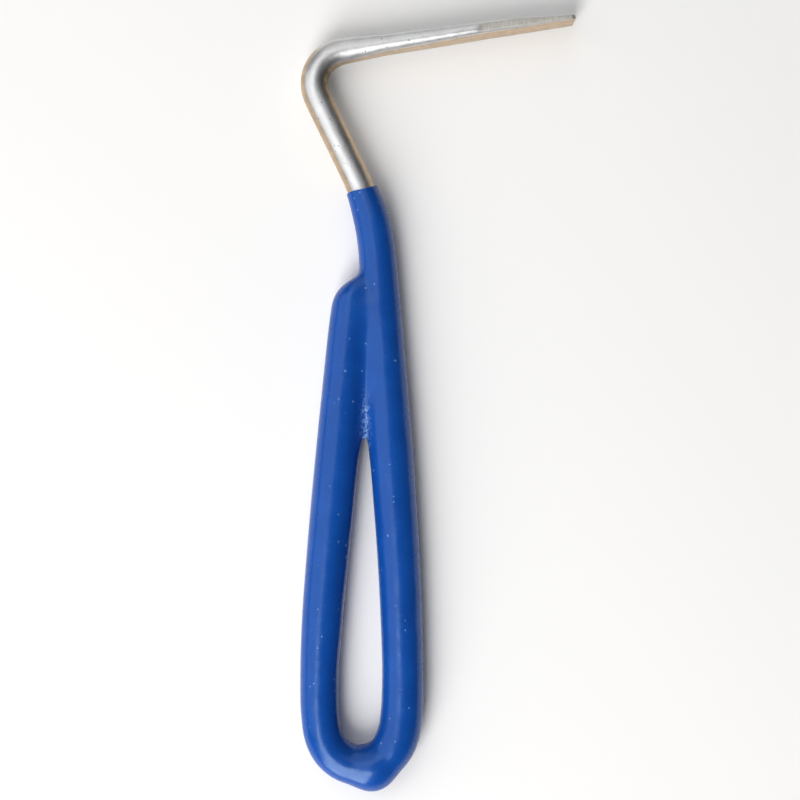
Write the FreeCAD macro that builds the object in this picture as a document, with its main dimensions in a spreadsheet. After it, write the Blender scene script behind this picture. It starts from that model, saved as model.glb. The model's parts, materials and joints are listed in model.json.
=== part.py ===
# Hoof pick: a plated rod bent double into a hanging loop, its cranked neck, the head turned back
# into a forged and ground pick, the tack weld that closes the loop, and a dipped vinyl grip.
# Millimetres and degrees. The tool lies flat in XY, +Y runs from the loop to the head, +X is the way
# the pick points, and Z is the tool's thickness.
import FreeCAD, Part
import math
import os
import re

import Sketcher
from FreeCAD import Placement, Rotation, Vector

SIZES = {
    # The rod and its bends, to the rod's centreline. The main limb carries on into the neck, and
    # the return limb is the one that ends under the grip.
    "rod_diameter": 6.35,
    "loop_clear": 12.55,        # bare steel to bare steel across the loop's bend
    "main_foot": 4.8,           # straight rise out of the loop's bend
    "main_bow": 600.0,          # radius of the bow above the foot
    "main_lean": 4.05,          # lean of the limb from +Y at the top of its bow
    "main_run": 59.8,           # straight above the bow, as far as the neck
    "return_foot": 9.3,
    "return_bow": 260.0,
    "return_lean": 5.4,
    "return_run": 65.1,
    "end_chamfer": 0.6,         # cropped edge at the rod's free end
    "neck_radius": 57.5,
    "shank_lean": 25.9,         # lean of the bare shank from +Y
    "shank_run": 19.5,
    "head_radius": 7.3,
    "arm_rise": 8.0,            # angle of the arm above +X
    "arm_length": 54.5,         # from the end of the head bend to the tip

    # The forged arm: spread sideways, flattened above and below, then ground to a chisel.
    # Heights are from the arm's centreline, along positions measured from the head bend.
    "forge_start": 0.8,         # where the flattening starts
    "forge_run": 9.0,           # where the flattening is complete
    "forge_top": 2.2,
    "forge_under": 1.95,
    "forge_spread": 3.9,        # half the width across the arm there
    "arm_spread": 4.25,         # half the width half-way along
    "chisel_run": 42.0,         # where the top is ground down towards the tip
    "chisel_top": 1.37,
    "blade_run": 32.0,          # where the ground sides of the blade start
    "blade_spread": 4.7,        # half the forged width of the blade
    "blade_half": 4.25,         # half the width between the ground sides
    "side_ramp": 2.0,           # length of the ramp down to each ground side
    "tip_top": 0.1,
    "tip_under": 0.8,
    "tip_nose": 0.3,            # rounding over the tip's thickness
    "tip_corner": 1.0,          # rounding of the blade's corners

    # The weld bead in the corner between the rod's end and the neck.
    "bead_radius": 2.0,
    "bead_length": 4.0,

    # The vinyl: coat thickness over the rod at places along it, then where those places are, as
    # shares of the straight runs and of the neck's turn below the coat's edge.
    "coat_bend": 1.3,
    "coat_foot": 1.4,
    "coat_bow": 1.7,
    "coat_middle": 1.9,
    "coat_upper": 1.6,
    "coat_shoulder": 1.3,
    "coat_neck": 1.2,
    "coat_neck_middle": 1.05,
    "coat_neck_upper": 0.78,
    "coat_lip": 0.1,
    "main_middle_share": 0.25,
    "main_upper_share": 0.65,
    "neck_middle_share": 0.4,
    "neck_upper_share": 0.8,
    "return_middle_share": 0.33,
    "return_upper_share": 0.66,
    "return_end_share": 0.97,
    "edge_turn": 21.3,          # how far round the neck, from +X, the coat ends
    "edge_tilt": 16.5,          # tilt of that edge from level
    "crotch_height": 66.2,      # bottom of the web, above the loop's centre
    "web_thickness": 5.6,
    "web_rise": 2.6,            # how far the web passes the rod's end
    "drip_turn": 12.3,          # where the drip hangs, from straight down towards the main limb
    "drip_radius": 10.3,        # its middle, from the loop's centre
    "drip_along": 8.0,
    "drip_out": 5.2,
    "drip_deep": 4.4,
}

# Places worked out from the sizes. The loop's centre is at 0, 0 until the last step.
PLACES = {
    "rod_radius": "rod_diameter / 2",
    "loop_radius": "loop_clear / 2 + rod_radius",
    "main_bow_x": "loop_radius - main_bow * (1 - cos(main_lean))",
    "main_bow_y": "main_foot + main_bow * sin(main_lean)",
    "neck_start_x": "main_bow_x - main_run * sin(main_lean)",
    "neck_start_y": "main_bow_y + main_run * cos(main_lean)",
    "neck_centre_x": "neck_start_x - neck_radius * cos(main_lean)",
    "neck_centre_y": "neck_start_y - neck_radius * sin(main_lean)",
    "neck_end_x": "neck_centre_x + neck_radius * cos(shank_lean)",
    "neck_end_y": "neck_centre_y + neck_radius * sin(shank_lean)",
    "head_start_x": "neck_end_x - shank_run * sin(shank_lean)",
    "head_start_y": "neck_end_y + shank_run * cos(shank_lean)",
    "head_centre_x": "head_start_x + head_radius * cos(shank_lean)",
    "head_centre_y": "head_start_y + head_radius * sin(shank_lean)",
    "head_end_x": "head_centre_x - head_radius * sin(arm_rise)",
    "head_end_y": "head_centre_y + head_radius * cos(arm_rise)",
    "return_bow_x": "return_bow * (1 - cos(return_lean)) - loop_radius",
    "return_bow_y": "return_foot + return_bow * sin(return_lean)",
    "return_end_x": "return_bow_x + return_run * sin(return_lean)",
    "return_end_y": "return_bow_y + return_run * cos(return_lean)",
    "edge_x": "neck_centre_x + neck_radius * cos(edge_turn)",
    "edge_y": "neck_centre_y + neck_radius * sin(edge_turn)",
    "web_top": "return_end_y + web_rise",
}
# Over the rod's free end the coat slopes across to the neck, smaller at each ring. Each has its
# place across and up from the end in rod diameters, its heading, and its radius in rod radii.
SHOULDER = {
    "shoulder_low": (0.03, 0.17, 80, 1.17),
    "shoulder_middle": (0.3, 0.5, 60, 0.95),
    "shoulder_upper": (0.6, 0.85, 55, 0.75),
    "shoulder_top": (0.95, 1.4, 60, 0.6),
}
SPARE = 2.0                     # how far a cutting outline passes what it cuts
ALIAS = re.compile(r"\b[a-z]+(?:_[a-z]+)+\b")

os.makedirs("parts", exist_ok=True)
doc = FreeCAD.newDocument("hoof_pick")


# The sheets -----------------------------------------------------------------------------------
def fill_sheet(name, cells, text):
    """A sheet of names and values, each value under its name as alias."""
    sheet = doc.addObject("Spreadsheet::Sheet", name)
    for row, (alias, value) in enumerate(cells.items(), start=1):
        sheet.set(f"A{row}", alias)
        sheet.set(f"B{row}", text(value))
        sheet.setAlias(f"B{row}", alias)
    doc.recompute()
    return sheet


def from_sizes(formula):
    """A formula of the places sheet: sizes carry their sheet's name, places are its own."""
    return "=" + ALIAS.sub(lambda m: f"Sizes.{m[0]}" if m[0] in SIZES else m[0], formula)


def named(formula):
    """A formula for an object's expression, with the sheet's name before each alias."""
    return ALIAS.sub(lambda m: f"{'Sizes' if m[0] in SIZES else 'Places'}.{m[0]}", formula)


fill_sheet("Sizes", SIZES, str)
places = fill_sheet("Places", PLACES, from_sizes)


def value(formula):
    """What a formula comes to now, as a plain number."""
    found = places.evalExpression(named(formula))
    return float(getattr(found, "Value", found))


# Drawing helpers ------------------------------------------------------------------------------
def make_body(name):
    body = doc.addObject("PartDesign::Body", name)
    body.Label = name
    return body


def origin_part(body, role):
    return next(o for o in body.Origin.OriginFeatures if o.Role == role)


def seat(thing, body, plane, shift, axis, turn):
    """Attaches a sketch or primitive to an origin plane, moved by shift and turned about axis."""
    thing.AttachmentSupport = [(origin_part(body, plane), "")]
    thing.MapMode = "FlatFace"
    thing.AttachmentOffset = Placement(Vector(*map(value, shift)), Rotation(axis, value(turn)))
    for letter, formula in zip("xyz", shift):
        thing.setExpression(f"AttachmentOffset.Base.{letter}", named(formula))
    thing.setExpression("AttachmentOffset.Rotation.Angle", f"({named(turn)}) * 1deg")


def side_sketch(body, name, x, y, turn):
    """A sketch seen along Z, with its origin at x, y and its first axis turned from +X."""
    sketch = body.newObject("Sketcher::SketchObject", name)
    seat(sketch, body, "XY_Plane", (x, y, "0"), Vector(0, 0, 1), turn)
    return sketch


def cross_sketch(body, name, x, y, turn):
    """A sketch that stands across the tool at x, y: its axes are +X turned, and +Z."""
    sketch = body.newObject("Sketcher::SketchObject", name)
    seat(sketch, body, "XZ_Plane", (x, "0", f"-({y})"), Vector(0, 1, 0), turn)
    return sketch


def hold(sketch, formula, *what):
    """A sized constraint that follows a formula."""
    index = sketch.addConstraint(Sketcher.Constraint(*what, value(formula)))
    sketch.setExpression(f"Constraints[{index}]", named(formula))


def ring(body, name, x, y, heading, radius):
    """A circle across the rod, where its centreline passes x, y at this heading from +X."""
    sketch = cross_sketch(body, name, x, y, f"{heading} - 90")
    circle = sketch.addGeometry(Part.Circle(Vector(), Vector(0, 0, 1), value(radius)), False)
    sketch.addConstraint(Sketcher.Constraint("Coincident", circle, 3, -1, 1))
    hold(sketch, radius, "Radius", circle)
    return sketch


def outline(sketch, corners):
    """A closed outline through corners, each (x, y) or (x, y, rounding), all formulas."""
    points = [Vector(value(c[0]), value(c[1]), 0) for c in corners]
    enters, leaves, arcs = list(points), list(points), {}
    for i, corner in enumerate(corners):
        if len(corner) < 3:
            continue
        back = (points[i - 1] - points[i]).normalize()
        on = (points[(i + 1) % len(points)] - points[i]).normalize()
        half, radius = back.getAngle(on) / 2, value(corner[2])
        enters[i] = points[i] + back * (radius / math.tan(half))
        leaves[i] = points[i] + on * (radius / math.tan(half))
        centre = points[i] + (back + on).normalize() * (radius / math.sin(half))
        start, end = enters[i] - centre, leaves[i] - centre
        turns_left = start.cross(end).z > 0
        first, last = (start, end) if turns_left else (end, start)
        a, b = math.atan2(first.y, first.x), math.atan2(last.y, last.x)
        whole = Part.Circle(centre, Vector(0, 0, 1), radius)
        arcs[i] = (sketch.addGeometry(Part.ArcOfCircle(whole, a, b), False), turns_left)
    lines = [
        sketch.addGeometry(Part.LineSegment(leaves[i], enters[(i + 1) % len(points)]), False)
        for i in range(len(points))
    ]
    for i, corner in enumerate(corners):
        before, after = lines[i - 1], lines[i]
        if i in arcs:
            arc, turns_left = arcs[i]
            in_end, out_end = (1, 2) if turns_left else (2, 1)
            sketch.addConstraint(Sketcher.Constraint("Tangent", before, 2, arc, in_end))
            sketch.addConstraint(Sketcher.Constraint("Tangent", arc, out_end, after, 1))
            hold(sketch, corner[2], "Radius", arc)
            target = sketch.addGeometry(Part.Point(points[i]), True)
            sketch.addConstraint(Sketcher.Constraint("PointOnObject", target, 1, before))
            sketch.addConstraint(Sketcher.Constraint("PointOnObject", target, 1, after))
        else:
            sketch.addConstraint(Sketcher.Constraint("Coincident", before, 2, after, 1))
            target = after
        hold(sketch, corner[0], "DistanceX", -1, 1, target, 1)
        hold(sketch, corner[1], "DistanceY", -1, 1, target, 1)
    return sketch


def loft(body, name, sections):
    """A skin over the sections, in order, straight from each to the next."""
    skin = body.newObject("PartDesign::AdditiveLoft", name)
    skin.Profile, skin.Sections = sections[0], sections[1:]
    skin.Ruled = True
    return skin


def cut_through(body, name, sketch):
    """Removes a sketch's outline right through the body, both ways."""
    pocket = body.newObject("PartDesign::Pocket", name)
    pocket.Profile = sketch
    pocket.Type = "ThroughAll"
    pocket.SideType = "Symmetric"
    return pocket


# The steel rod --------------------------------------------------------------------------------
def rod_path(body):
    """The bent rod's centreline as tangent lines and arcs, from its free end to the head bend."""
    path = side_sketch(body, "rod_path", "0", "0", "0")
    right, left = value("90 - return_lean"), value("90 + main_lean")

    def line(x0, y0, x1, y1):
        ends = [Vector(value(x), value(y), 0) for x, y in ((x0, y0), (x1, y1))]
        return path.addGeometry(Part.LineSegment(*ends), False)

    def arc(x, y, radius, start, end):
        whole = Part.Circle(Vector(value(x), value(y), 0), Vector(0, 0, 1), value(radius))
        turn = [math.radians(angle) for angle in (start, end)]
        return path.addGeometry(Part.ArcOfCircle(whole, *turn), False)

    # Each piece with the numbers of its first and last point: an arc's own ends run anticlockwise.
    pieces = [
        (line("return_end_x", "return_end_y", "return_bow_x", "return_bow_y"), 1, 2),
        (arc("return_bow - loop_radius", "return_foot", "return_bow", right + 90, 180), 1, 2),
        (line("-loop_radius", "return_foot", "-loop_radius", "0"), 1, 2),
        (arc("0", "0", "loop_radius", 180, 360), 1, 2),
        (line("loop_radius", "0", "loop_radius", "main_foot"), 1, 2),
        (arc("loop_radius - main_bow", "main_foot", "main_bow", 0, left - 90), 1, 2),
        (line("main_bow_x", "main_bow_y", "neck_start_x", "neck_start_y"), 1, 2),
        (arc("neck_centre_x", "neck_centre_y", "neck_radius", left - 90, value("shank_lean")), 1, 2),
        (line("neck_end_x", "neck_end_y", "head_start_x", "head_start_y"), 1, 2),
        (arc("head_centre_x", "head_centre_y", "head_radius",
             value("90 + arm_rise"), value("180 + shank_lean")), 2, 1),
    ]
    for (this, _, end), (after, start, _) in zip(pieces, pieces[1:]):
        path.addConstraint(Sketcher.Constraint("Tangent", this, end, after, start))
    back_run, back_bow, back_foot, loop, foot, bow, run, neck, shank, head = (p[0] for p in pieces)
    path.addConstraint(Sketcher.Constraint("Coincident", loop, 3, -1, 1))
    path.addConstraint(Sketcher.Constraint("PointOnObject", loop, 1, -1))
    path.addConstraint(Sketcher.Constraint("PointOnObject", loop, 2, -1))
    for piece, radius in ((back_bow, "return_bow"), (loop, "loop_radius"), (bow, "main_bow"),
                          (neck, "neck_radius"), (head, "head_radius")):
        hold(path, radius, "Radius", piece)
    for piece, length in ((back_run, "return_run"), (back_foot, "return_foot"), (foot, "main_foot"),
                          (run, "main_run"), (shank, "shank_run")):
        hold(path, length, "Distance", piece)
    for piece, point, x in ((back_run, 2, "return_bow_x"), (run, 1, "main_bow_x"),
                            (shank, 1, "neck_end_x"), (head, 1, "head_end_x")):
        hold(path, x, "DistanceX", -1, 1, piece, point)
    return path


def steel_rod():
    body = make_body("steel_rod")
    bar = body.newObject("PartDesign::AdditivePipe", "bent_rod")
    bar.Profile = ring(body, "rod_section", "return_end_x", "return_end_y", "90 - return_lean",
                       "rod_radius")
    bar.Spine = (rod_path(body), [])
    doc.recompute()

    end = Vector(value("return_end_x"), value("return_end_y"), 0)
    free_end = next(f"Edge{i}" for i, edge in enumerate(bar.Shape.Edges, start=1)
                    if (edge.CenterOfMass - end).Length < value("end_chamfer"))
    crop = body.newObject("PartDesign::Chamfer", "cropped_end")
    crop.Base = (bar, [free_end])
    crop.setExpression("Size", named("end_chamfer"))

    # The arm swells sideways out of the head bend, and passes the tip until the outlines trim it.
    def across(name, run, radius):
        return ring(body, name, f"head_end_x + ({run}) * cos(arm_rise)",
                    f"head_end_y + ({run}) * sin(arm_rise)", "arm_rise", radius)

    loft(body, "spread_arm", [
        across("arm_root", "0", "rod_radius"),
        across("arm_forged", "forge_run", "forge_spread"),
        across("arm_middle", "(forge_run + blade_run) / 2", "arm_spread"),
        across("arm_blade", "blade_run", "blade_spread"),
        across("arm_tip", f"arm_length + {SPARE}", "blade_spread"),
    ])

    def along_arm(name):
        return side_sketch(body, name, "head_end_x", "head_end_y", "arm_rise")

    past, clear = f"arm_length + {2 * SPARE}", f"blade_spread + {SPARE}"
    middle = "(tip_top - tip_under) / 2"
    cut_through(body, "flat_top", outline(along_arm("top_outline"), [
        ("forge_start", "rod_radius"), ("forge_run", "forge_top"), ("chisel_run", "chisel_top"),
        ("arm_length", "tip_top", "tip_nose"), ("arm_length", middle), (past, middle),
        (past, clear), ("forge_start", clear),
    ]))
    cut_through(body, "flat_underside", outline(along_arm("under_outline"), [
        ("forge_start", "-rod_radius"), ("forge_run", "-forge_under"),
        ("arm_length", "-tip_under", "tip_nose"), ("arm_length", middle), (past, middle),
        (past, f"-({clear})"), ("forge_start", f"-({clear})"),
    ]))
    for name, sign in (("near", ""), ("far", "-")):
        plan = cross_sketch(body, f"{name}_side_outline", "head_end_x", "head_end_y", "arm_rise")
        cut_through(body, f"{name}_ground_side", outline(plan, [
            ("blade_run - side_ramp", f"{sign}({clear})"), ("blade_run", f"{sign}blade_half"),
            ("arm_length", f"{sign}blade_half", "tip_corner"),
            ("arm_length", f"{sign}(blade_half - 2 * tip_corner)"),
            (past, f"{sign}(blade_half - 2 * tip_corner)"), (past, f"{sign}({clear})"),
        ]))
    return body


# The tack weld --------------------------------------------------------------------------------
def bead_blank():
    """The weld bead's own outline, before the rod's surfaces shape it: a bar across the corner."""
    blank = make_body("bead_blank")
    section = side_sketch(blank, "bead_section", "return_end_x + rod_radius",
                          "return_end_y + bead_radius / 2", "0")
    circle = section.addGeometry(Part.Circle(Vector(), Vector(0, 0, 1), value("bead_radius")), False)
    section.addConstraint(Sketcher.Constraint("Coincident", circle, 3, -1, 1))
    hold(section, "bead_radius", "Radius", circle)
    bead = blank.newObject("PartDesign::Pad", "bead")
    bead.Profile = section
    bead.SideType = "Symmetric"
    bead.setExpression("Length", named("bead_length"))
    return blank


def tack_weld(blank, rod):
    """A bead in the corner between the rod's end and the main limb, fused to both."""
    weld = doc.addObject("Part::Cut", "tack_weld")
    weld.Label = "tack_weld"
    weld.Base, weld.Tool = blank, rod
    return weld


# The vinyl grip -------------------------------------------------------------------------------
def vinyl_grip(rod, blank):
    """The dipped coat: its outside as lofts round both limbs, less the rod and its weld."""
    body = make_body("coat_outside")

    def on_main(name, share, coat):
        """A ring on the main limb's straight run, at a share of it."""
        return ring(body, name, f"main_bow_x - {share} * main_run * sin(main_lean)",
                    f"main_bow_y + {share} * main_run * cos(main_lean)", "90 + main_lean",
                    f"rod_radius + {coat}")

    def on_neck(name, turn, coat):
        return ring(body, name, f"neck_centre_x + neck_radius * cos({turn})",
                    f"neck_centre_y + neck_radius * sin({turn})", f"90 + {turn}",
                    f"rod_radius + {coat}")

    def below_edge(share):
        return f"(main_lean + {share} * (edge_turn - main_lean))"

    def on_return(name, share, coat):
        return ring(body, name, f"return_bow_x + {share} * return_run * sin(return_lean)",
                    f"return_bow_y + {share} * return_run * cos(return_lean)", "90 - return_lean",
                    f"rod_radius + {coat}")

    start = ring(body, "main_bend_end", "loop_radius", "0", "90", "rod_radius + coat_bend")
    loft(body, "main_coat", [
        start,
        ring(body, "main_foot_end", "loop_radius", "main_foot", "90", "rod_radius + coat_foot"),
        on_main("main_low", "0", "coat_bow"),
        on_main("main_middle", "main_middle_share", "coat_middle"),
        on_main("main_upper", "main_upper_share", "coat_upper"),
        on_main("main_top", "1", "coat_neck"),
        on_neck("neck_middle", below_edge("neck_middle_share"), "coat_neck_middle"),
        on_neck("neck_upper", below_edge("neck_upper_share"), "coat_neck_upper"),
        on_neck("neck_end", "shank_lean", "coat_lip"),
    ])

    bend = body.newObject("PartDesign::Revolution", "bend_coat")
    bend.Profile = ring(body, "bend_section", "loop_radius", "0", "90", "rod_radius + coat_bend")
    bend.ReferenceAxis = (origin_part(body, "Z_Axis"), [""])
    bend.Angle = 180
    bend.Reversed = True

    at_end = on_return("return_top", "return_end_share", "coat_shoulder")
    loft(body, "return_coat", [
        ring(body, "return_bend_end", "-loop_radius", "0", "90", "rod_radius + coat_bend"),
        ring(body, "return_foot_end", "-loop_radius", "return_foot", "90", "rod_radius + coat_foot"),
        on_return("return_low", "0", "coat_bow"),
        on_return("return_middle", "return_middle_share", "coat_middle"),
        on_return("return_upper", "return_upper_share", "coat_upper"),
        at_end,
    ])

    loft(body, "shoulder", [at_end] + [
        ring(body, name, f"return_end_x + {across} * rod_diameter",
             f"return_end_y + {up} * rod_diameter", str(heading), f"{radius} * rod_radius")
        for name, (across, up, heading, radius) in SHOULDER.items()
    ])

    def limb_line(side, height):
        """The centreline of a limb's straight run at a height."""
        if side == "main":
            return f"main_bow_x - ({height} - main_bow_y) * tan(main_lean)"
        return f"return_bow_x + ({height} - return_bow_y) * tan(return_lean)"

    web = body.newObject("PartDesign::Pad", "web")
    web.Profile = outline(side_sketch(body, "web_outline", "0", "0", "0"), [
        (limb_line(side, height), height)
        for side, height in (("return", "crotch_height"), ("main", "crotch_height"),
                             ("main", "web_top"), ("return", "web_top"))
    ])
    web.SideType = "Symmetric"
    web.setExpression("Length", named("web_thickness"))

    drip = body.newObject("PartDesign::AdditiveEllipsoid", "drip")
    hang = "(drip_turn - 90)"
    seat(drip, body, "XZ_Plane", (f"drip_radius * cos({hang})", "0", f"-drip_radius * sin({hang})"),
         Vector(0, 1, 0), hang)
    for radius, size in (("Radius1", "drip_along"), ("Radius2", "drip_out"), ("Radius3", "drip_deep")):
        drip.setExpression(radius, named(size))

    # The coat's top edge, a little out of square with the rod.
    edge = side_sketch(body, "edge_outline", "edge_x", "edge_y", "edge_tilt")
    cut_through(body, "coat_edge", outline(edge, [
        ("-rod_diameter", "0"), ("rod_diameter", "0"),
        ("rod_diameter", "2 * rod_diameter"), ("-rod_diameter", "2 * rod_diameter"),
    ]))

    dipped = doc.addObject("Part::Fuse", "welded_rod")
    dipped.Base, dipped.Tool = rod, blank
    grip = doc.addObject("Part::Cut", "vinyl_grip")
    grip.Label = "vinyl_grip"
    grip.Base, grip.Tool = body, dipped
    return grip


# The whole tool -------------------------------------------------------------------------------
rod = steel_rod()
blank = bead_blank()
weld = tack_weld(blank, rod)
grip = vinyl_grip(rod, blank)
doc.recompute()

# The frame's origin is the middle of the base of the box round the whole tool.
whole = Part.makeCompound([rod.Shape, grip.Shape]).optimalBoundingBox(True, False)
FRAME = {
    "frame_x": -whole.Center.x,
    "frame_y": -whole.Center.y,
    "frame_z": -whole.ZMin,
}
fill_sheet("Frame", FRAME, str)
for body in doc.findObjects("PartDesign::Body"):
    for letter in "xyz":
        body.setExpression(f"Placement.Base.{letter}", f"Frame.frame_{letter}")
doc.recompute()

for item in doc.Objects:
    if {"Invalid", "Error"} & set(item.State):
        raise RuntimeError(f"{item.Name} did not build")
for node in (rod, weld, grip):
    if node.Shape.isNull() or not node.Shape.isValid() or len(node.Shape.Solids) != 1:
        raise RuntimeError(f"{node.Label} is not one sound solid")
    node.Shape.exportStep(f"parts/{node.Label}.step")
    print(node.Label, round(node.Shape.Volume), "mm3")
print("frame", *(round(shift, 3) for shift in FRAME.values()))
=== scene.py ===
# %% [markdown]
# # A hoof pick, from its frame to its finish
#
# The real tool is one steel rod, bent double into a hanging loop, cranked at the neck, turned back at
# the head and forged flat into a pick. The handle end is dipped in blue vinyl. This lesson loads the
# measured frame of that tool, then remakes the rod and the coat as smooth surfaces worked out from
# formulas, and gives each its finish.

# %% Load the frame
import bpy
import numpy as np
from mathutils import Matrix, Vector
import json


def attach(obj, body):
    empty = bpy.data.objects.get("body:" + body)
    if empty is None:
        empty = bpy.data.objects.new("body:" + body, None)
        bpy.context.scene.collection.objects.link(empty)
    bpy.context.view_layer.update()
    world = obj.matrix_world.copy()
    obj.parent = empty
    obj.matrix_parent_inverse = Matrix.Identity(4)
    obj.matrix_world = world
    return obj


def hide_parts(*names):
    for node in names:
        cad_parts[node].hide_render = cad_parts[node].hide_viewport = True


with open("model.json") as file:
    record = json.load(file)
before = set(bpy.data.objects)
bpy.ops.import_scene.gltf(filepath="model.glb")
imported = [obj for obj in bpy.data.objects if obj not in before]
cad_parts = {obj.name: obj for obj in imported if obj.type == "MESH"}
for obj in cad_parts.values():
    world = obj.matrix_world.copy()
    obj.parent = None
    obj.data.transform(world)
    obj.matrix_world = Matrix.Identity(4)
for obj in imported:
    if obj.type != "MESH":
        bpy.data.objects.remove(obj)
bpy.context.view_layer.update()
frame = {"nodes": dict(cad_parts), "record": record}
MM = 0.001
loop_mount = next(m for m in frame["record"]["mounts"] if m["name"] == "hang_loop")
LOOP_CENTRE = np.array(loop_mount["pos_m"])     # centre of the loop's bend, at mid thickness
print("loop centre, mm:", np.round(LOOP_CENTRE / MM, 2))

# %% [markdown]
# ## The rod's centreline
#
# A bent rod is a list of runs: each has a length and an angle that it turns through. That could be
# drawn as a Bezier curve by hand, but a list of lengths and turns is how the rod is really bent, and
# the same list serves the rod and the coat that follows it. The turns added up along the rod give
# its heading, and the heading's cosines and sines added up give its position.

# %% Lay out the centreline
ROD_RADIUS = 6.35 / 2
LOOP_RADIUS = 9.45
STEP = 0.1                                      # millimetres between points of the centreline
BEND_EASE = 1.2                                 # millimetres over which a bend eases in

RETURN_LEAN = 5.4                               # degrees by which the returning limb leans outwards
FIRST_HEADING = 270.0 - RETURN_LEAN             # degrees: the rod's free end points down the page


def straight(name, length):
    """A run with no turn."""
    return name, length, 0.0


def bend(name, radius, turn):
    """A run on an arc: its length is the radius times the turn, left turns are positive."""
    return name, radius * np.radians(abs(turn)), turn


BENDS = [                                       # millimetres and degrees, from the free end to the tip
    straight("lead", 8.0),                      # runs on past the rod's free end, for the coat
    straight("return_run", 65.1),
    bend("return_bow", 260.0, RETURN_LEAN),
    straight("return_foot", 9.3),
    bend("loop", LOOP_RADIUS, 180.0),
    straight("main_foot", 4.8),
    bend("main_bow", 600.0, 4.05),
    straight("main_run", 59.8),
    bend("neck", 57.5, 21.85),
    straight("shank", 19.3),
    bend("head", 7.3, -107.9),
    straight("arm", 54.2),
]

stops = np.concatenate([[0.0], np.cumsum([length for _, length, _ in BENDS])])
START = {name: stops[i] for i, (name, _, _) in enumerate(BENDS)}
END = {name: stops[i + 1] for i, (name, _, _) in enumerate(BENDS)}
ROD_LENGTH = stops[-1]


def soften(values, reach):
    """Each value becomes the bell-weighted mean of its neighbours within about reach millimetres."""
    half = int(3 * reach / STEP)
    weights = np.exp(-0.5 * (np.arange(-half, half + 1) * STEP / reach) ** 2)
    padded = np.pad(values, half, mode="edge")
    return np.convolve(padded, weights / weights.sum(), mode="valid")


run = np.arange(0.0, ROD_LENGTH + STEP, STEP)
turned = np.interp(run, stops, np.cumsum([FIRST_HEADING] + [turn for _, _, turn in BENDS]))
heading = soften(np.radians(turned), BEND_EASE)
line_x = np.cumsum(np.cos(heading)) * STEP
line_y = np.cumsum(np.sin(heading)) * STEP
loop_start = int(round(START["loop"] / STEP))
line_x += -LOOP_RADIUS - line_x[loop_start]
line_y += -line_y[loop_start]


def on_line(values, at):
    """The values at distances along the rod, on straight lines between the centreline's points."""
    return np.interp(at, run, values)


print("rod length %.1f mm, tip at x %.1f y %.1f" % (ROD_LENGTH, line_x[-1], line_y[-1]))


def to_frame(points):
    """Millimetres from the loop's centre become metres in the frame."""
    return points * MM + LOOP_CENTRE


# %% [markdown]
# ## A surface on a grid
#
# Every new skin here is a grid of points: one parameter goes along the piece, the other round it.
# Blender could make the faces with a modifier, but four index arrays shifted by one row or one
# column give all the faces at once, and the two ends are closed with a fan to a middle point.

# %% Helper: a closed tube of rings
def tube_faces(rings, around):
    """Quads between each ring and the next, wound so that they face away from the middle."""
    index = np.arange(rings * around).reshape(rings, around)
    a, b = index[:-1], index[1:]
    quads = np.stack([a, np.roll(a, -1, 1), np.roll(b, -1, 1), b], axis=-1).reshape(-1, 4)
    start, end = rings * around, rings * around + 1
    first, last = index[0], index[-1]
    fan_start = np.stack([np.full(around, start), np.roll(first, -1), first], axis=-1)
    fan_end = np.stack([np.full(around, end), last, np.roll(last, -1)], axis=-1)
    return quads, np.concatenate([fan_start, fan_end])


def tube_mesh(name, rings):
    """A closed mesh from an array of rings, shaped (rings, around, 3), in frame metres."""
    count, around, _ = rings.shape
    quads, fans = tube_faces(count, around)
    ends = np.stack([rings[0].mean(0), rings[-1].mean(0)])
    mesh = bpy.data.meshes.new(name)
    mesh.from_pydata(
        np.concatenate([rings.reshape(-1, 3), ends]).tolist(), [], quads.tolist() + fans.tolist()
    )
    mesh.shade_smooth()
    return mesh


def add_object(name, mesh):
    """An object that holds the mesh or lamp, unturned at the origin of the scene."""
    thing = bpy.data.objects.new(name, mesh)
    bpy.context.scene.collection.objects.link(thing)
    return thing


def signed_volume(mesh):
    """Sum of the tetrahedra from the origin to each triangle: positive when faces point outwards."""
    mesh.calc_loop_triangles()
    corners = np.empty(len(mesh.loop_triangles) * 3, dtype=np.int32)
    mesh.loop_triangles.foreach_get("vertices", corners)
    points = np.empty(len(mesh.vertices) * 3)
    mesh.vertices.foreach_get("co", points)
    a, b, c = points.reshape(-1, 3)[corners.reshape(-1, 3)].transpose(1, 0, 2)
    return float(np.einsum("ij,ij->i", a, np.cross(b, c)).sum() / 6)


# %% [markdown]
# ## The rod's sections
#
# Up to the head bend the rod is round. Past it the smith has hammered the arm, and a round bar under
# a hammer gets two flat faces while its sides stay round. So each section is a rectangle with rounded
# corners: when the corner radius is half the thickness it is a hammered bar, and when the width is
# the same too it is the round rod. From half-way on, the two sides are ground flat as well, and
# towards the tip the top is ground down to a chisel. The side cut is z / (1 + |z / side|^n)^(1/n),
# which leaves z alone until it nears the cut and then stops it, rounding the edge a little.

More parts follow.
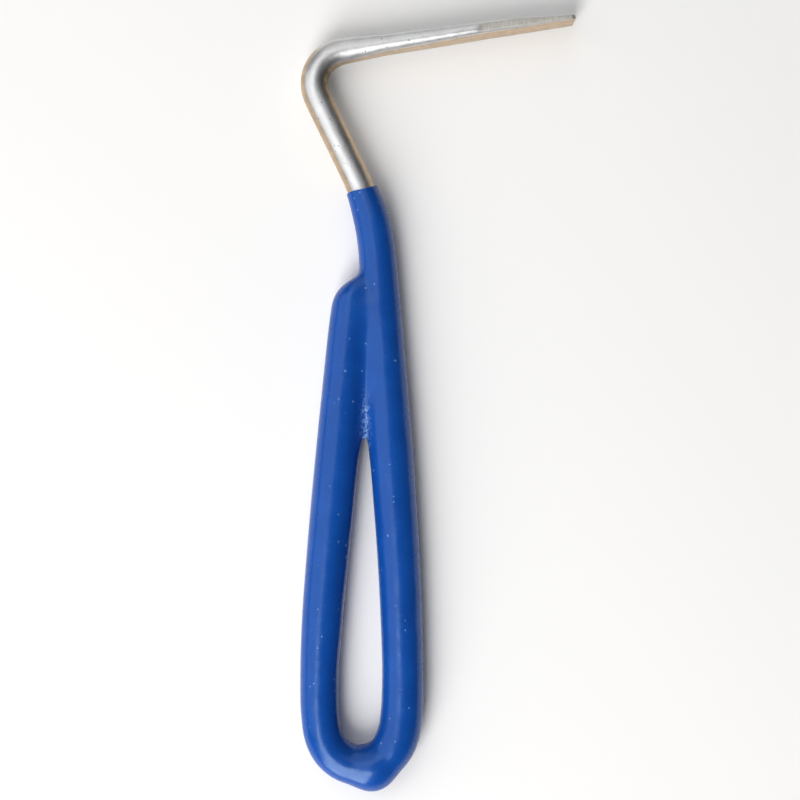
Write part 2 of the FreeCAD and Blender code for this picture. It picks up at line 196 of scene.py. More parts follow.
# %% Sizes along the arm
# Millimetres: distance past the head bend, half width, height over and under the middle line, corner
# radius, and the half width between the ground sides.
ARM = np.array([
    (-9.0, 3.175, 3.175, 3.175, 3.175, 9.00),
    (-2.0, 3.18, 3.13, 3.13, 3.13, 9.00),
    (4.0, 3.30, 2.75, 2.63, 2.65, 7.00),
    (10.0, 3.55, 2.25, 2.05, 2.12, 5.40),
    (20.0, 3.95, 1.93, 1.76, 1.83, 4.85),
    (26.0, 4.25, 1.75, 1.54, 1.64, 4.60),
    (31.4, 4.44, 1.58, 1.33, 1.45, 4.52),
    (32.4, 4.45, 1.55, 1.26, 1.40, 4.19),
    (42.0, 4.38, 1.36, 1.09, 1.22, 4.17),
    (54.2, 4.20, 0.20, 0.80, 0.50, 4.08),
])
STATION_EASE = 0.5                              # millimetres over which one station runs into the next
SIDE_SHARPNESS = 40.0
TIP_NOSE, TIP_CORNER = 0.42, 1.1
NOSE_RINGS = 14


def arm_size(column, at):
    """One column of the arm's sizes, run smoothly between its stations."""
    table = soften(np.interp(run - START["arm"], ARM[:, 0], ARM[:, column]), STATION_EASE)
    return on_line(table, at)


def rod_rings(at, around):
    """Rings of the rod at distances along it. Each point is the centre of its corner's arc plus the
    corner radius along the angle; the side cut then acts on z, and the nose rounds the last ring."""
    turn = -2 * np.pi * (np.arange(around) + 0.5) / around
    wide, top, under, corner, side = (arm_size(c, at)[:, None] for c in range(1, 6))
    left = ROD_LENGTH - at[:, None]
    nose = 1 - np.clip(left / TIP_NOSE, 0, 1)
    blunt = 1 - np.clip(left / TIP_CORNER, 0, 1)
    side = side - TIP_CORNER * (1 - np.sqrt(1 - blunt ** 2))
    thin = TIP_NOSE * (1 - np.sqrt(1 - nose ** 2))
    half = (top + under) / 2 - thin
    corner = np.minimum(corner, half)
    z = np.sign(np.cos(turn)) * (wide - corner) + corner * np.cos(turn)
    z = z * (1 + np.abs(z / side) ** SIDE_SHARPNESS) ** (-1 / SIDE_SHARPNESS)
    across = (top - under) / 2 + np.sign(np.sin(turn)) * (half - corner) + corner * np.sin(turn)
    middle_x, middle_y = on_line(line_x, at)[:, None], on_line(line_y, at)[:, None]
    way = on_line(heading, at)[:, None]
    return to_frame(np.stack([middle_x - np.sin(way) * across, middle_y + np.cos(way) * across, z],
                             axis=-1))


# %% [markdown]
# ## The rod as one skin
#
# The rings are close together where the steel shows and bends, and far apart where the coat hides
# it. Each end is closed: the free end has a small chamfer from cropping, and the tip is rounded.

# %% Make the rod
EDGE_RUN = START["neck"] + 17.3                 # where the coat ends
END_CHAMFER = 0.6
HIDDEN_STEP, SHOWN_STEP = 1.2, 0.3              # millimetres between rings
UNDER_COAT = 4                                  # how far inside the coat the close rings start
ROD_AROUND = 112                                # points in a ring

ROD_START = START["return_run"]
hidden = np.arange(ROD_START + END_CHAMFER, EDGE_RUN - UNDER_COAT, HIDDEN_STEP)
shown = np.arange(EDGE_RUN - UNDER_COAT, ROD_LENGTH - TIP_CORNER, SHOWN_STEP)
nose_at = ROD_LENGTH - TIP_CORNER * (1 - np.sin(np.linspace(0, np.pi / 2, NOSE_RINGS)))
rings_at = np.concatenate([[ROD_START], hidden, shown, nose_at[:-1]])
rod_grid = rod_rings(rings_at, ROD_AROUND)
first = rod_grid[0]
rod_grid[0] = first.mean(0) + (first - first.mean(0)) * (1 - END_CHAMFER / ROD_RADIUS)
rod = add_object("bent_forged_rod", tube_mesh("bent_forged_rod", rod_grid))
print("rod: %d rings, %d faces, volume %.0f mm3" % (
    len(rings_at), len(rod.data.polygons), signed_volume(rod.data) / MM ** 3))
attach(rod, "root")
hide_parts("steel_rod")

# %% [markdown]
# ## Tones stored on the rod
#
# Bright steel takes its tones from what stands round it. The real one looks tan on its flanks and
# nearly black inside the head bend, and this pale studio has nothing tan or black to mirror. Warm and
# dark boards beside the tool would be the truer way. Here the two tones are painted on instead: a painted
# tan reflection on the flanks, and a painted dark reflection and shade inside the head bend. Each is
# stored as a number for each vertex, and the finish turns them into a fixed colour, so they stay where
# they are when the tool is turned. A third number marks the ground sides of the blade and its tip.

# %% Store the painted reflection and shade, and the ground sides
FLANK_RISE = (0.64, 0.84)                       # a normal's Z: painted tan reflection below the first, none past the second
ARM_LIFT = 0.34                                 # added to that Z past the head bend: a narrower painted tan reflection
ARM_LIFT_RUN = (-8, 2)                          # where it is added, from the start of the arm
HEAD_FACING = (0.5, 0.9)                        # a normal's Y, over which the painted tan reflection fades out
BEND_SHADE_PLACE, BEND_SHADE_SPREAD = 5, 7                # painted dark reflection and shade in the bend: middle and spread, from the start of the head bend
BEND_SHADE_FACING = (0.3, 0.8)                       # how squarely a face looks into the bend
GROUND_RUN = (31.2, 32.4)                       # where the ground sides start, along the arm
GROUND_FACING = (0.85, 0.95)                    # a normal's Z on a ground side
TIP_RUN = (0.8, 0.4)                            # the ground end, from the tip


def store(mesh, name, values):
    """A number for each vertex, under a name that a material can read."""
    mesh.attributes.new(name, "FLOAT", "POINT").data.foreach_set(
        "value", np.ascontiguousarray(values, dtype=np.float32))


def smooth_step(values, low, high):
    """0 below low, 1 above high, and an S-shaped rise between."""
    t = np.clip((values - low) / (high - low), 0, 1)
    return t * t * (3 - 2 * t)


def run_step(along, start, reach):
    """A smooth step along the rod, between two distances from a start."""
    return smooth_step(along, start + reach[0], start + reach[1])


normals = np.empty(len(rod.data.vertices) * 3)
rod.data.vertex_normals.foreach_get("vector", normals)
normals = normals.reshape(-1, 3)
level = np.abs(normals[:, 2])
along = np.concatenate([np.repeat(rings_at, rod_grid.shape[1]), rings_at[[0, -1]]])
# Painted tan reflection: strongest where the normal lies near level, so on the flanks, and on a narrower
# band past the head bend.
lifted = level + ARM_LIFT * run_step(along, START["arm"], ARM_LIFT_RUN)
store(rod.data, "painted_tan_reflection", (1 - smooth_step(lifted, *FLANK_RISE))
      * (1 - smooth_step(normals[:, 1], *HEAD_FACING)))
# Painted dark reflection and shade: faces that look into the head bend, near its middle.
way = on_line(heading, along)
inside = normals[:, 0] * np.sin(way) - normals[:, 1] * np.cos(way)
painted_bend_shade = np.exp(-((along - START["head"] - BEND_SHADE_PLACE) / BEND_SHADE_SPREAD) ** 2)
store(rod.data, "painted_bend_shade", painted_bend_shade * smooth_step(inside, *BEND_SHADE_FACING))
on_blade = run_step(along, START["arm"], GROUND_RUN)
at_tip = smooth_step(along, ROD_LENGTH - TIP_RUN[0], ROD_LENGTH - TIP_RUN[1])
store(rod.data, "ground", np.maximum(on_blade * smooth_step(level, *GROUND_FACING), at_tip))
print("tones stored:", [a.name for a in rod.data.attributes if a.data_type == "FLOAT"])

# %% [markdown]
# ## The coat as a field
#
# Dipped vinyl runs and sags before it cures, so its skin has no edges: where the two limbs come
# close it fills the gap with a web, over the rod's end it slopes to the neck, and at the bottom of
# the loop it hangs as a drip. Lofts can't meet like that. A distance field can: it says how far any
# point is from the skin, and two fields join through a smooth minimum, which fills the corner
# between them. The distance to a limb is the distance to its centreline less the radius there.

# %% Coat thickness along the rod
# The shift is positive towards the middle of the loop, where the vinyl pools in the bend.
COAT = np.array([               # distance along the rod, radius over the coat, shift to the inside
    (START["lead"], 4.40, 0.0),
    (START["return_run"] + 2, 4.52, 0.0),
    (START["return_run"] + 6, 4.76, 0.0),
    (START["return_run"] + 17, 4.88, 0.0),
    (START["return_run"] + 30, 5.00, 0.0),
    (START["return_run"] + 45, 5.03, 0.0),
    (START["return_run"] + 56, 4.98, 0.02),
    (START["return_bow"] + 2, 4.84, 0.06),
    (START["return_bow"] + 12, 4.72, 0.0),
    (START["return_bow"] + 20, 4.46, -0.22),
    (START["return_foot"] + 5, 4.42, -0.25),
    (START["loop"], 4.40, 0.20),
    (START["loop"] + 3, 4.40, 0.45),
    (START["loop"] + 8, 4.50, 0.35),
    (START["loop"] + 14, 4.60, 0.35),
    (START["loop"] + 20, 4.75, 0.45),
    (START["loop"] + 25, 4.98, 0.88),
    (START["loop"] + 28, 4.92, 0.84),
    (START["main_foot"] + 1, 4.92, 0.45),
    (START["main_bow"], 4.85, 0.10),
    (START["main_bow"] + 8, 4.76, -0.04),
    (START["main_bow"] + 20, 4.82, 0.02),
    (START["main_run"], 4.97, 0.0),
    (START["main_run"] + 14, 5.07, 0.0),
    (START["main_run"] + 30, 4.86, 0.0),
    (START["main_run"] + 45, 4.62, 0.0),
    (START["neck"], 4.38, 0.03),
    (START["neck"] + 4, 4.24, 0.0),
    (START["neck"] + 9, 4.20, -0.14),
    (START["neck"] + 14, 3.98, -0.09),
    (EDGE_RUN, 3.52, 0.0),
    (EDGE_RUN + 8, 3.50, 0.0),
])
COAT_EASE = 2.0                                 # millimetres over which one row runs into the next
coat_radius, coat_shift = (
    soften(np.interp(run, COAT[:, 0], column), COAT_EASE) for column in COAT[:, 1:].T)
coat_x = line_x - np.sin(heading) * coat_shift
coat_y = line_y + np.cos(heading) * coat_shift

HALF_WAY = 0.5 * (START["loop"] + END["loop"])
BACK = np.arange(0.0, HALF_WAY, 1.0)            # samples along the returning limb
FORE = np.arange(HALF_WAY, EDGE_RUN + 8, 1.0)   # and along the main limb
print("coat radius, mm: %.2f to %.2f" % (coat_radius.min(), coat_radius.max()))


def limb_distance(x, y, z, at):
    """Distance to the skin of one limb: the nearest point of its centreline is found among samples,
    then slid along the line by the remaining offset, and the radius there is taken away."""
    sample_x, sample_y = on_line(coat_x, at), on_line(coat_y, at)
    near = ((x[:, None] - sample_x) ** 2 + (y[:, None] - sample_y) ** 2).argmin(1)
    here = at[near]
    for _ in range(2):
        way = on_line(heading, here)
        slide = (x - on_line(coat_x, here)) * np.cos(way) + (y - on_line(coat_y, here)) * np.sin(way)
        here = np.clip(here + slide, at[0], at[-1])
    gap = np.sqrt((x - on_line(coat_x, here)) ** 2 + (y - on_line(coat_y, here)) ** 2 + z ** 2)
    return gap - on_line(coat_radius, here)


def smooth_min(a, b, reach):
    """The smaller of a and b, less a parabola of the part of reach that they are nearer than."""
    near = np.clip(reach - np.abs(a - b), 0, None) / np.maximum(reach, 1e-6)
    return np.minimum(a, b) - near ** 2 * reach / 4


WEB_REACH = 3.6                                 # fills a gap between skins of up to half of this
CORNER_REACH = 1.6                              # sharper, in the corner between shoulder and neck
REACH_AT = (18, 40, 97, 103)                    # Y where the reach starts, is full, is still full, ends
NO_REACH = 0.01
SHOULDER = (-3.2, 102.65)                       # a point that the sloped shoulder goes through
SHOULDER_TURN = np.radians(30.0)                # how far its face leans from level
SHOULDER_ROUND = 3.4
DRIP_TURN = np.radians(14.5 - 90.0)             # 14.5 degrees to the right of straight down
DRIP_OUT = 10.3                                 # from the loop's centre to the middle of the drip
DRIP_RADIUS, DRIP_FLAT, DRIP_REACH = 4.9, 0.9, 2.5
DRIP = (DRIP_OUT * np.cos(DRIP_TURN), DRIP_OUT * np.sin(DRIP_TURN))


def coat_field(points):
    """Millimetres from the coat's skin, negative inside. The returning limb is cut by the shoulder's
    sloped plane, joined to the main limb with the reach for its height, and then to the drip, a ball
    a little flat in depth."""
    x, y, z = points.T
    back, fore = limb_distance(x, y, z, BACK), limb_distance(x, y, z, FORE)
    over = ((y - SHOULDER[1]) * np.cos(SHOULDER_TURN) - (x - SHOULDER[0]) * np.sin(SHOULDER_TURN))
    back = -smooth_min(-back, -over, SHOULDER_ROUND)
    reach = np.interp(y, REACH_AT, (NO_REACH, WEB_REACH, WEB_REACH, CORNER_REACH))
    field = smooth_min(back, fore, reach)
    drip = np.sqrt((x - DRIP[0]) ** 2 + (y - DRIP[1]) ** 2 + (z / DRIP_FLAT) ** 2) - DRIP_RADIUS
    return smooth_min(field, drip, DRIP_REACH)


# %% [markdown]
# ## From field to mesh
#
# A rough stock of the same topology comes first: a plump tube along the rod, a wedge where the web
# will be and a ball for the drip, fused by Blender's voxel remesh into even quads. Then every vertex
# slides down the field's slope until it sits on the skin: a few steps of Newton's method, worked out
# for all vertices at once.

# %% Rough stock
def stock_tube(at, radii, around=32):
    """Rings of given radius along the centreline."""
    turn = np.linspace(0, 2 * np.pi, around, endpoint=False)
    way, out = on_line(heading, at)[:, None], radii[:, None] * np.sin(turn)
    return to_frame(np.stack([
        on_line(coat_x, at)[:, None] - np.sin(way) * out,
        on_line(coat_y, at)[:, None] + np.cos(way) * out,
        radii[:, None] * np.cos(turn),
    ], axis=-1))


def stock_column(x, y, wide, deep, around=32):
    """Upright ellipses, wide along X and deep along Z, at centres x, y."""
    turn = np.linspace(0, 2 * np.pi, around, endpoint=False)
    ring = np.ones_like(turn)
    return to_frame(np.stack([
        x[:, None] - wide[:, None] * np.cos(turn),
        y[:, None] * ring,
        deep[:, None] * np.sin(turn),
    ], axis=-1))


SPARE_END, SPARE_EDGE, SPARE_SKIN = 3.5, 6, 0.1  # the stock stands this far out of the coat
WEB_FROM, WEB_TO = 66.4, 103.0                  # Y of the web's foot and head
WEB_DEEP_FROM, WEB_DEEP_TO = 0.8, 3.4           # half its depth at the two
BALL_RINGS, BALL_POLE = 16, 0.05                # rings of the drip's ball, and the first one's angle

stock_at = np.arange(START["return_run"] - SPARE_END, EDGE_RUN + SPARE_EDGE, 1.0)
stock = [stock_tube(stock_at, on_line(coat_radius, stock_at) + SPARE_SKIN)]
web_y = np.linspace(WEB_FROM, WEB_TO, 30)
left_x = np.interp(web_y, on_line(line_y, BACK)[::-1], on_line(line_x, BACK)[::-1])
right_x = np.interp(web_y, on_line(line_y, FORE), on_line(line_x, FORE))
stock.append(stock_column((left_x + right_x) / 2, web_y, (right_x - left_x) / 2,
                          np.linspace(WEB_DEEP_FROM, WEB_DEEP_TO, len(web_y))))
ball_turn = np.linspace(BALL_POLE, np.pi - BALL_POLE, BALL_RINGS)
stock.append(stock_column(np.full(BALL_RINGS, DRIP[0]), DRIP[1] - DRIP_RADIUS * np.cos(ball_turn),
                          DRIP_RADIUS * np.sin(ball_turn), DRIP_FLAT * DRIP_RADIUS * np.sin(ball_turn)))

pieces = [add_object(f"stock_{i}", tube_mesh(f"stock_{i}", grid)) for i, grid in enumerate(stock)]
for piece in pieces:
    print(piece.name, "volume %.0f mm3" % (signed_volume(piece.data) / MM ** 3))

# %% [markdown]
# ### One skin from three lumps
#
# The three lumps overlap and have edges where they cross. The voxel remesh throws their faces away and
# wraps the whole in squares of one size, as shrink film would, which leaves one closed skin to settle.

# %% Fuse the stock
def apply_modifiers(thing):
    """The thing's mesh as its modifiers show it, in place of its own."""
    bpy.context.view_layer.update()
    shown_mesh = bpy.data.meshes.new_from_object(
        thing.evaluated_get(bpy.context.evaluated_depsgraph_get()))
    thing.modifiers.clear()
    old, thing.data = thing.data, shown_mesh
    bpy.data.meshes.remove(old)


def join_meshes(name, things):
    """One object with all the things' vertices and faces."""
    points, faces = [], []
    for thing in things:
        base = len(points)
        points += [v.co[:] for v in thing.data.vertices]
        faces += [[base + i for i in p.vertices] for p in thing.data.polygons]
        bpy.data.objects.remove(thing)
    mesh = bpy.data.meshes.new(name)
    mesh.from_pydata(points, [], faces)
    return add_object(name, mesh)


VOXEL = 0.42 * MM
coat = join_meshes("vinyl_coat", pieces)
remesh = coat.modifiers.new("fuse", "REMESH")
remesh.mode, remesh.voxel_size, remesh.use_smooth_shade = "VOXEL", VOXEL, True
apply_modifiers(coat)
print("fused stock:", len(coat.data.vertices), "vertices")

# %% [markdown]
# ### Down the slope to the skin
#
# The field says how far a vertex is from the skin, and its slope says which way that is. Slope is
# measured by nudging the vertex a little along each axis. Each step moves the vertex down the slope by
# its distance over the steepness, held to under a millimetre. Six steps leave no vertex further from
# the skin than a tenth of a millimetre.

# %% Settle the skin on the field
def mesh_points(mesh):
    """All the vertices' places, one row each."""
    points = np.empty(len(mesh.vertices) * 3)
    mesh.vertices.foreach_get("co", points)
    return points.reshape(-1, 3)


skin = (mesh_points(coat.data) - LOOP_CENTRE) / MM
NUDGE = 0.02                                    # millimetres
LEAST_STEEP = 0.25                              # a flatter slope than this isn't trusted
LONGEST_STEP = 0.8
for _ in range(6):
    here = coat_field(skin)
    slope = np.stack([
        (coat_field(skin + NUDGE * axis) - here) / NUDGE for axis in np.eye(3)
    ], axis=-1)
    steep = np.maximum((slope ** 2).sum(1, keepdims=True), LEAST_STEEP)
    step = here[:, None] * slope / steep
    skin -= np.clip(step, -LONGEST_STEP, LONGEST_STEP)
print("largest distance left: %.4f mm" % np.abs(coat_field(skin)).max())
coat.data.vertices.foreach_set("co", to_frame(skin).ravel())
coat.data.update()

# %% [markdown]
# ## The coat's top edge and its hollow
#
# The tool is dipped to a line on the neck, a little out of square and not quite straight. A cutter
# with a gently waved underside trims the coat there, and the rod itself is cut out of the coat, so
# that the coat is a real shell with a thin lip, and the lip lies exactly on the steel.

# %% Trim and hollow the coat
EDGE_TILT = np.radians(16.5)
RIM_POINTS, SPOKE_POINTS = 96, 24
CUTTER_SIZE, CUTTER_HEIGHT = 9.0, 14.0
SHARP = np.radians(40)                          # edges that turn more than this stay crisp


def cutter_rings(size, height):
    """A drum over the trim line. Its underside is a tilted plane with a low wave round it."""
    turn = np.linspace(0, 2 * np.pi, RIM_POINTS, endpoint=False)
    radii = np.concatenate([np.linspace(0.05, size, SPOKE_POINTS), [size, 0.05]])
    lift = np.concatenate([np.zeros(SPOKE_POINTS), [height, height]])
    wave = 0.10 * np.sin(2 * turn + 0.6) + 0.07 * np.sin(3 * turn + 2.0)
    r = radii[:, None]
    up = lift[:, None] + wave * np.clip(r / ROD_RADIUS, 0, 1)
    side, deep = r * np.cos(turn), r * np.sin(turn)
    return to_frame(np.stack([
        on_line(line_x, EDGE_RUN) + side * np.cos(EDGE_TILT) - up * np.sin(EDGE_TILT),
        on_line(line_y, EDGE_RUN) + side * np.sin(EDGE_TILT) + up * np.cos(EDGE_TILT),
        -deep,
    ], axis=-1))


def cut_by(thing, tool):
    """What is left of the thing outside the tool."""
    boolean = thing.modifiers.new("cut", "BOOLEAN")
    boolean.operation, boolean.solver, boolean.object = "DIFFERENCE", "MANIFOLD", tool
    apply_modifiers(thing)


cutter = add_object("cutter", tube_mesh("cutter", cutter_rings(CUTTER_SIZE, CUTTER_HEIGHT)))
print("cutter volume %.0f mm3" % (signed_volume(cutter.data) / MM ** 3))
cut_by(coat, cutter)
bpy.data.objects.remove(cutter)
cut_by(coat, rod)
coat.data.shade_smooth()
coat.data.set_sharp_from_angle(angle=SHARP)
print("coat: %d faces, volume %.0f mm3" % (
    len(coat.data.polygons), signed_volume(coat.data) / MM ** 3))
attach(coat, "root")
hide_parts("vinyl_grip")

# %% [markdown]
# ### Dust and a painted highlight in the crease
#
# Where the limbs meet over the web there is a crease that a cloth doesn't reach, and it holds dust. The
# same pale mark is also a painted highlight along the crease. A bell across the crease times a rise and
# a fall along it marks the place on the coat's vertices.

# %% Mark the dust and the painted highlight
# A pale mark in the crease: dust, and a painted highlight along it.
DUST_AND_HIGHLIGHT_MIDDLE, DUST_AND_HIGHLIGHT_SPREAD = 0.95, 0.9            # across the crease
DUST_AND_HIGHLIGHT_RISE, DUST_AND_HIGHLIGHT_FALL = (58, 67), (69, 80)       # along it
place = (mesh_points(coat.data) - LOOP_CENTRE) / MM
across_crease = np.exp(-((place[:, 0] - DUST_AND_HIGHLIGHT_MIDDLE) / DUST_AND_HIGHLIGHT_SPREAD) ** 2)
crease_dust_and_highlight = across_crease * smooth_step(place[:, 1], *DUST_AND_HIGHLIGHT_RISE) * (1 - smooth_step(place[:, 1], *DUST_AND_HIGHLIGHT_FALL))
store(coat.data, "crease_dust_and_highlight", crease_dust_and_highlight)
print("dusty vertices:", int((crease_dust_and_highlight > 0.5).sum()))

# %% [markdown]
# ## Finishes
#
# The finishes are built from noise on object coordinates and from the numbers stored on the meshes, so
# they stay put on the piece. A small builder keeps the node trees short to read.

# %% Node helper
class Finish:
    """A material with a Principled shader, and short calls to add and join nodes."""

    def __init__(self, name):
        self.material = bpy.data.materials.new(name)
        self.material.use_nodes = True
        self.nodes = self.material.node_tree.nodes
        self.links = self.material.node_tree.links
        self.shader = self.nodes["Principled BSDF"]
        self.place = self.nodes.new("ShaderNodeTexCoord").outputs["Object"]

    def set(self, **values):
        """Fixed values on the shader's own sockets, named with _ for a space."""
        for name, value in values.items():
            self.shader.inputs[name.replace("_", " ")].default_value = value

    def join(self, source, target):
        """A link from an output to an input."""
        self.links.new(source, target)

    def noise(self, scale, detail=3.0, rough=0.5, stretch=(1, 1, 1)):
        """Noise with scale in lumps per metre, stretched along the axes."""
        mapping = self.nodes.new("ShaderNodeMapping")
        mapping.inputs["Scale"].default_value = stretch
        self.join(self.place, mapping.inputs["Vector"])
        texture = self.nodes.new("ShaderNodeTexNoise")
        texture.inputs["Scale"].default_value = scale
        texture.inputs["Detail"].default_value = detail
        texture.inputs["Roughness"].default_value = rough
        self.join(mapping.outputs["Vector"], texture.inputs["Vector"])
        return texture.outputs["Fac"]

    def attribute(self, name):
        """The number stored on the mesh under a name."""
        node = self.nodes.new("ShaderNodeAttribute")
        node.attribute_name = name
        return node.outputs["Fac"]

    def remap(self, source, low, high, to_low=0.0, to_high=1.0):
        """Low becomes to_low and high becomes to_high, straight between and level beyond."""
        node = self.nodes.new("ShaderNodeMapRange")
        for name, value in (("From Min", low), ("From Max", high), ("To Min", to_low),
                            ("To Max", to_high)):
            node.inputs[name].default_value = value
        self.join(source, node.inputs["Value"])
        return node.outputs["Result"]

    def combine(self, a, b, kind):
        """Two numbers added or multiplied, or the larger of the two, as the kind says."""
        node = self.nodes.new("ShaderNodeMath")
        node.operation = kind
        self.join(a, node.inputs[0])
        self.join(b, node.inputs[1])
        return node.outputs["Value"]

    def mix(self, amount, a, b):
        """Colour a, or b where amount is 1."""
        node = self.nodes.new("ShaderNodeMix")
        node.data_type = "RGBA"
        for source, socket in ((amount, node.inputs[0]), (a, node.inputs[6]), (b, node.inputs[7])):
            if isinstance(source, tuple):
                socket.default_value = (*source, 1.0)
            else:
                self.join(source, socket)
        return node.outputs[2]

    def bump(self, height, depth, below=None):
        """A bump of depth metres, on top of any bump below it."""
        node = self.nodes.new("ShaderNodeBump")
        node.inputs["Strength"].default_value = 1.0
        node.inputs["Distance"].default_value = depth
        self.join(height, node.inputs["Height"])
        if below is not None:
            self.join(below, node.inputs["Normal"])
        return node.outputs["Normal"]


LOT_EDGE = 0.005                                # how wide the line is between a drawn cell and the rest


def specks(finish, scale, size, share):
    """1 in small dots: the nearest cell point is within size, in the share of cells drawn by lot."""
    cells = finish.nodes.new("ShaderNodeTexVoronoi")
    cells.inputs["Scale"].default_value = scale
    finish.join(finish.place, cells.inputs["Vector"])
    dot = finish.remap(cells.outputs["Distance"], size, size * 0.5)
    lot = finish.nodes.new("ShaderNodeSeparateColor")
    finish.join(cells.outputs["Color"], lot.inputs["Color"])
    chosen = finish.remap(lot.outputs["Red"], share, share - LOT_EDGE)
    return finish.combine(dot, chosen, "MULTIPLY")


def dress(thing, material):
    """The thing wears this material and no other."""
    thing.data.materials.clear()
    thing.data.materials.append(material)
    print(thing.name, "wears", material.name, "with", len(material.node_tree.nodes), "nodes")


# %% [markdown]
# ### Dipped vinyl
#
# Cured dip vinyl is deep in colour with a soft gloss. Its skin is slightly wavy, has a fine orange
# peel, and picks up dust, pale nicks and pinholes. In the crease a painted highlight lies with the dust.

# %% Vinyl
DEEP_BLUE, MID_BLUE = (0.0036, 0.057, 0.300), (0.0048, 0.070, 0.350)
SPECK_DUST_AND_HIGHLIGHT_BLUE = (0.25, 0.40, 0.70)
BLUE_GLOSS = (0.62, 0.84, 1.0, 1.0)


def blue_vinyl():
    """Clouds between two blues, pale at specks and at the crease's dust and painted highlight; waves, then
    peel.
    """
    finish = Finish("dipped_blue_vinyl")
    finish.set(IOR=1.5, Specular_Tint=BLUE_GLOSS)
    cloud = finish.noise(140, 4, 0.6)
    tone = finish.mix(finish.remap(cloud, 0.3, 0.7), DEEP_BLUE, MID_BLUE)
    dots = finish.combine(specks(finish, 620, 0.22, 0.05), specks(finish, 1100, 0.26, 0.03), "MAXIMUM")
    dots = finish.combine(dots, finish.remap(finish.noise(4000, 2, 0.6), 0.4, 0.6), "MULTIPLY")
    # the crease's dust and painted highlight, broken into grains
    crease_mark_grain = finish.remap(finish.noise(1500, 4, 0.7), 0.45, 0.62)
    dust_and_highlight = finish.combine(finish.attribute("crease_dust_and_highlight"), crease_mark_grain, "MULTIPLY")
    pale = finish.combine(dots, dust_and_highlight, "MAXIMUM")
    finish.join(finish.mix(pale, tone, SPECK_DUST_AND_HIGHLIGHT_BLUE), finish.shader.inputs["Base Color"])
    finish.join(finish.remap(finish.noise(300, 5, 0.6), 0.3, 0.7, 0.20, 0.30),
                finish.shader.inputs["Roughness"])
    waves = finish.bump(finish.noise(110, 1, 0.4), 0.00030)
    peel = finish.bump(finish.noise(900, 2, 0.5), 0.00002, waves)
    finish.join(finish.bump(pale, 0.00005, peel), finish.shader.inputs["Normal"])
    return finish.material


dress(coat, blue_vinyl())


# %% [markdown]
# ### Plated steel
#
# The rod is plated, then handled: satin, with a soft mottle and fine pits. The ground sides of the
# blade are duller, with marks across them. The tan and the dark tone that its surroundings give the
# real one are painted here, as a painted reflection and painted shade: fixed colours that the rod's
# stored numbers ask for.

# %% Steel
BRIGHT_PLATE, DULL_PLATE = (0.72, 0.725, 0.735), (0.63, 0.625, 0.62)
BRIGHT_GRIND, DULL_GRIND = (0.66, 0.64, 0.59), (0.52, 0.50, 0.46)
BRIGHT_TAN_REFLECTION, DULL_TAN_REFLECTION = (0.66, 0.50, 0.33), (0.52, 0.40, 0.28)
BEND_SHADE_TONE, PIT = (0.11, 0.085, 0.05), (0.30, 0.26, 0.21)


def plated_steel():
    """Plate, or the ground steel's streaks; over that the painted tan reflection, the painted dark
    reflection and shade in the head bend, and the pits, each mixed in by its own number. The ground
    steel is rougher."""
    finish = Finish("satin_plated_steel")
    finish.set(Metallic=1.0)
    patch = finish.noise(260, 5, 0.6)
    silver = finish.mix(finish.remap(patch, 0.35, 0.7), BRIGHT_PLATE, DULL_PLATE)
    grind = finish.noise(900, 3, 0.6, (3.0, 1.0, 0.3))
    scraped = finish.mix(finish.remap(grind, 0.35, 0.65), BRIGHT_GRIND, DULL_GRIND)
    plate = finish.mix(finish.attribute("ground"), silver, scraped)
    mottle = finish.remap(finish.noise(520, 4, 0.65), 0.38, 0.62)
    # painted tan reflection, mixed in on the flanks by the stored number
    tan = finish.mix(mottle, BRIGHT_TAN_REFLECTION, DULL_TAN_REFLECTION)
    warm = finish.mix(finish.attribute("painted_tan_reflection"), plate, tan)
    # painted dark reflection and shade inside the head bend
    bend_shade_amount = finish.combine(finish.attribute("painted_bend_shade"), finish.remap(mottle, 0.0, 1.0, 0.75, 1.0), "MULTIPLY")
    darkened = finish.mix(bend_shade_amount, warm, BEND_SHADE_TONE)
    pits = finish.combine(specks(finish, 1100, 0.24, 0.07), specks(finish, 2400, 0.28, 0.12), "MAXIMUM")
    finish.join(finish.mix(pits, darkened, PIT), finish.shader.inputs["Base Color"])
    satin = finish.remap(finish.noise(500, 5, 0.65), 0.3, 0.7, 0.34, 0.46)
    rubbed = finish.remap(finish.attribute("ground"), 0.0, 1.0, 0.0, 0.25)
    finish.join(finish.combine(satin, rubbed, "ADD"), finish.shader.inputs["Roughness"])
    lumps = finish.bump(finish.noise(200, 3, 0.5), 0.00010)
    grit = finish.bump(finish.noise(2600, 3, 0.6), 0.000016, lumps)
    finish.join(finish.bump(pits, -0.00004, grit), finish.shader.inputs["Normal"])
    return finish.material


dress(rod, plated_steel())


# %% [markdown]
# ### Bare weld
#
# The bead under the coat isn't seen, so the measured part is kept as it is. It has its own finish all
# the same: dull, rippled and heat-tinted.

# %% Weld
BROWN_HEAT, BLUE_HEAT = (0.30, 0.27, 0.24), (0.16, 0.14, 0.20)


def bare_weld():
    """Metal between two heat tints, with a ripple."""
    finish = Finish("bare_weld_bead")
    finish.set(Metallic=1.0, Roughness=0.5)
    heat = finish.remap(finish.noise(900, 3, 0.5), 0.35, 0.65)
    finish.join(finish.mix(heat, BROWN_HEAT, BLUE_HEAT), finish.shader.inputs["Base Color"])
    finish.join(finish.bump(finish.noise(2200, 2, 0.5), 0.00005), finish.shader.inputs["Normal"])
    return finish.material


dress(frame["nodes"]["tack_weld"], bare_weld())

# %% [markdown]
# ## The floor
#
# The tool lies flat on a pale, dull floor, one square that is far larger than the tool.

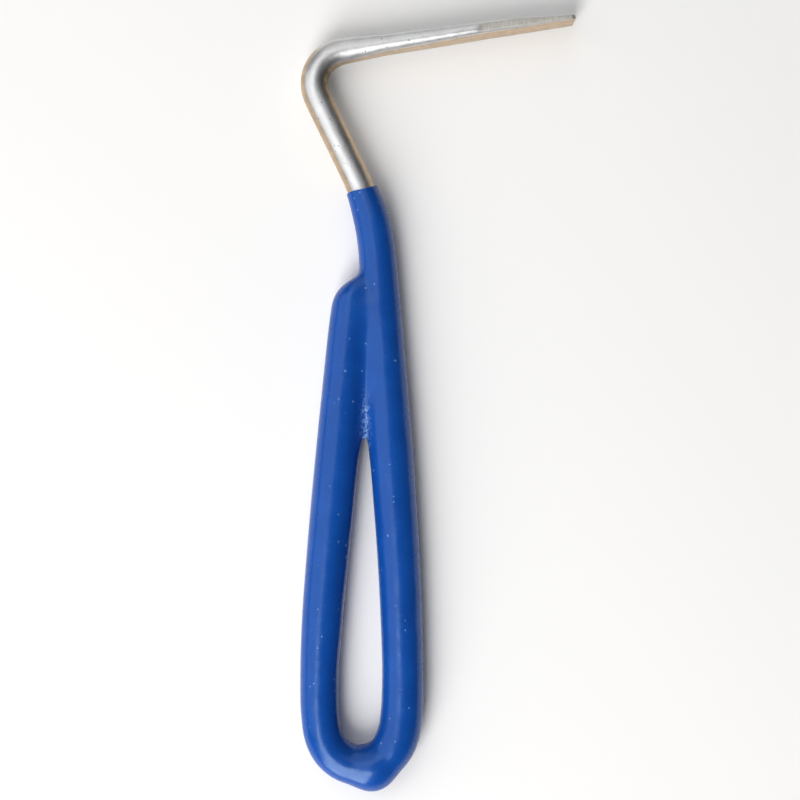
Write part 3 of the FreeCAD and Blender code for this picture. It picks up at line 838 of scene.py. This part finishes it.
# %% Floor
FLOOR = 1.5                                     # half its side, in metres
PALE_PAPER = (0.90, 0.89, 0.88, 1.0)
floor_mesh = bpy.data.meshes.new("floor")
floor_mesh.from_pydata([(-FLOOR, -FLOOR, 0), (FLOOR, -FLOOR, 0), (FLOOR, FLOOR, 0),
                        (-FLOOR, FLOOR, 0)], [], [(0, 1, 2, 3)])
floor = add_object("floor", floor_mesh)
paper = Finish("pale_floor")
paper.set(Base_Color=PALE_PAPER, Roughness=0.9)
floor.data.materials.append(paper.material)
print("floor side, m:", 2 * FLOOR)

# %% [markdown]
# ## The light
#
# A shiny rod shows its lights as stripes, so the lights are large soft panels. The bright one stands
# past the loop and a little to the left, and two dim ones stand on the left and past the head. The
# right has none, which leaves the dark bands that show that a rod is round.

# %% Lights
def soft_panel(name, place, width, height, radiance):
    """A glowing rectangle at a place, facing the middle of the tool. A panel that shines evenly all
    over has a power of pi times its area times its radiance."""
    lamp = bpy.data.lights.new(name, "AREA")
    lamp.shape, lamp.size, lamp.size_y = "RECTANGLE", width, height
    lamp.energy = np.pi * width * height * radiance
    thing = add_object(name, lamp)
    thing.location = place
    thing.rotation_euler = Vector([-v for v in place]).to_track_quat("-Z", "Y").to_euler()
    print(name, "%.0f W" % lamp.energy)


ROOM_COLOUR, ROOM_LIGHT = (0.92, 0.95, 1.0, 1.0), 0.06

#                        place in metres       width height radiance
soft_panel("left_panel", (-0.70, 0.05, 0.76), 0.95, 1.50, 1.15)
soft_panel("key_panel", (-0.37, -0.74, 0.66), 0.52, 1.20, 7.0)
soft_panel("head_panel", (-0.12, 0.74, 0.74), 0.90, 1.40, 0.85)
world = bpy.data.worlds.new("studio")
bpy.context.scene.world = world
world.use_nodes = True
room = world.node_tree.nodes["Background"].inputs
room["Color"].default_value, room["Strength"].default_value = ROOM_COLOUR, ROOM_LIGHT
bpy.context.scene.view_settings.view_transform = "Standard"

# %% [markdown]
# ## The camera
#
# It looks straight down from a hand's reach. The lens follows from what the picture takes in there: the
# sensor is to the focal length as the width is to the height.

# %% Camera
VIEW_HEIGHT = 0.40                              # metres above the tool's mid thickness
VIEW_WIDTH = 0.1848                             # what the picture takes in there
SENSOR = 36.0                                   # millimetres
VIEW_OFFSET = (0.00889, 0.07535)                # metres from the loop's centre to the picture's
lens = bpy.data.cameras.new("camera")
lens.sensor_width = SENSOR
lens.lens = SENSOR * VIEW_HEIGHT / VIEW_WIDTH
camera = add_object("camera", lens)
camera.location = LOOP_CENTRE + (*VIEW_OFFSET, VIEW_HEIGHT)
bpy.context.scene.camera = camera
print("lens, mm: %.1f" % lens.lens)

# %% [markdown]
# ## The end

# %% Finish
import json
bpy.context.view_layer.update()
